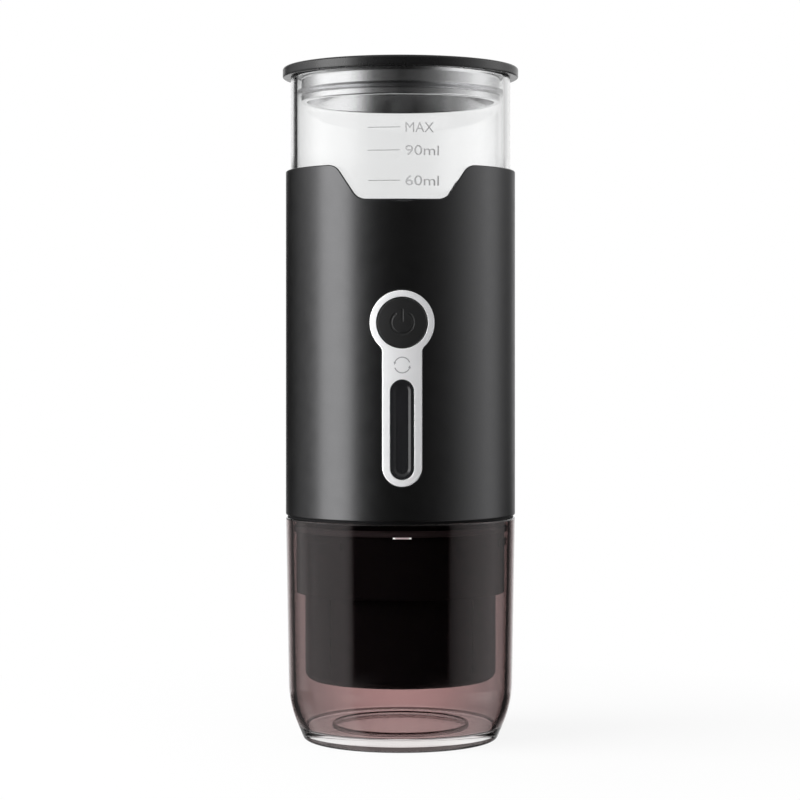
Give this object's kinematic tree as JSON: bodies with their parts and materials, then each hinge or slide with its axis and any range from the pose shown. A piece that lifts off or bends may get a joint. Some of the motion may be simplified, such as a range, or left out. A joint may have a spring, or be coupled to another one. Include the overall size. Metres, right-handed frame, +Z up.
{
  "type": "portable capsule coffee machine",
  "caption": "Slim upright travel coffee machine: clear water tank with lid, black sleeve with power button and light bar, brew head and capsule holder hanging in a smoked cup.",
  "frame": {"origin": "centre of the cup's foot, on the surface it stands on", "axes": "+Z up along the machine's axis, the power button faces -Y, +X to the viewer's right"},
  "size_m": [0.074, 0.074, 0.2104],
  "materials": {
    "smoked_cup": "smoked clear gloss",
    "clear_tank": "clear gloss",
    "sleeve_black": "satin black coat",
    "bezel_silver": "fine satin",
    "lid_black": "satin gloss",
    "button_black": "satin gloss",
    "lens_black": "dark smoked gloss",
    "black_plastic": "fine matte",
    "chassis_plastic": "as moulded",
    "white_plastic": "as moulded",
    "pump_plastic": "as moulded",
    "dark_rubber": "matte",
    "red_silicone": "matte",
    "clear_silicone": "matte",
    "steel": "plain",
    "cast_bell": "machined",
    "coil_copper": "lacquered winding",
    "cell_wrap": "shrink wrap over a metal can",
    "board_green": "solder mask",
    "component_dark": "as moulded",
    "cable_grey": "plain",
    "lead_red": "plain"
  },
  "bodies": {
    "cup": {"cup": "smoked_cup"},
    "machine": {"brew_head": "black_plastic", "head_screws": "steel", "cup_seal": "dark_rubber", "piercing_bell": "cast_bell", "piercing_needles": "steel", "capsule_seal": "red_silicone", "body_sleeve": "sleeve_black", "chassis_front": "chassis_plastic", "chassis_rear": "chassis_plastic", "bezel": "bezel_silver", "light_bar_lens": "lens_black", "light_guide": "white_plastic", "control_board": "board_green", "tact_switch": "component_dark", "indicator_leds": "white_plastic", "control_board_screws": "steel", "power_board": "board_green", "charge_socket": "steel", "power_components": "component_dark", "power_board_screws": "steel", "link_cable": "cable_grey", "battery_tray": "chassis_plastic", "battery_cells": "cell_wrap", "cell_straps": "steel", "battery_cap": "chassis_plastic", "battery_leads": "lead_red", "delivery_hose": "clear_silicone", "pump_head": "pump_plastic", "outlet_valve": "red_silicone", "pump_grommet": "dark_rubber", "pump_yoke": "steel", "pump_coil": "coil_copper", "pump_tube": "steel", "lower_spring": "steel", "upper_spring": "steel", "suction_hose": "clear_silicone", "tank_seat": "black_plastic", "spigot_seal": "red_silicone", "seat_screws": "steel"},
    "holder": {"holder_shell": "black_plastic", "capsule_cradle": "black_plastic", "extraction_grid": "steel", "spout": "black_plastic"},
    "button": {"power_button": "button_black", "switch_pin": "black_plastic"},
    "plunger": {"pump_plunger": "steel"},
    "tank": {"water_tank": "clear_tank", "inlet_strainer": "steel", "tank_valve": "clear_silicone"},
    "lid": {"lid_cap": "lid_black", "lid_plug": "steel", "lid_seal": "dark_rubber"}
  },
  "joints": [
    {"name": "machine_lift", "type": "slide", "parent": "cup", "child": "machine", "axis": [0, 0, 1], "range_m": [0, 0.06]},
    {"name": "tank_lift", "type": "slide", "parent": "machine", "child": "tank", "axis": [0, 0, 1], "range_m": [0, 0.04]},
    {"name": "lid_lift", "type": "slide", "parent": "tank", "child": "lid", "axis": [0, 0, 1], "range_m": [0, 0.025]},
    {"name": "button_press", "type": "slide", "parent": "machine", "child": "button", "axis": [0, 1, 0], "range_m": [0, 0.0008], "stiffness_N_per_m": 2000},
    {"name": "holder_twist", "type": "hinge", "parent": "machine", "child": "holder", "pos_m": [0, 0, 0.0196], "axis": [0, 0, 1], "range_deg": [0, 45]},
    {"name": "plunger_stroke", "type": "slide", "parent": "machine", "child": "plunger", "axis": [0, 0, 1], "range_m": [-0.003, 0.003], "stiffness_N_per_m": 600, "deforming": ["lower_spring", "upper_spring"]}
  ]
}
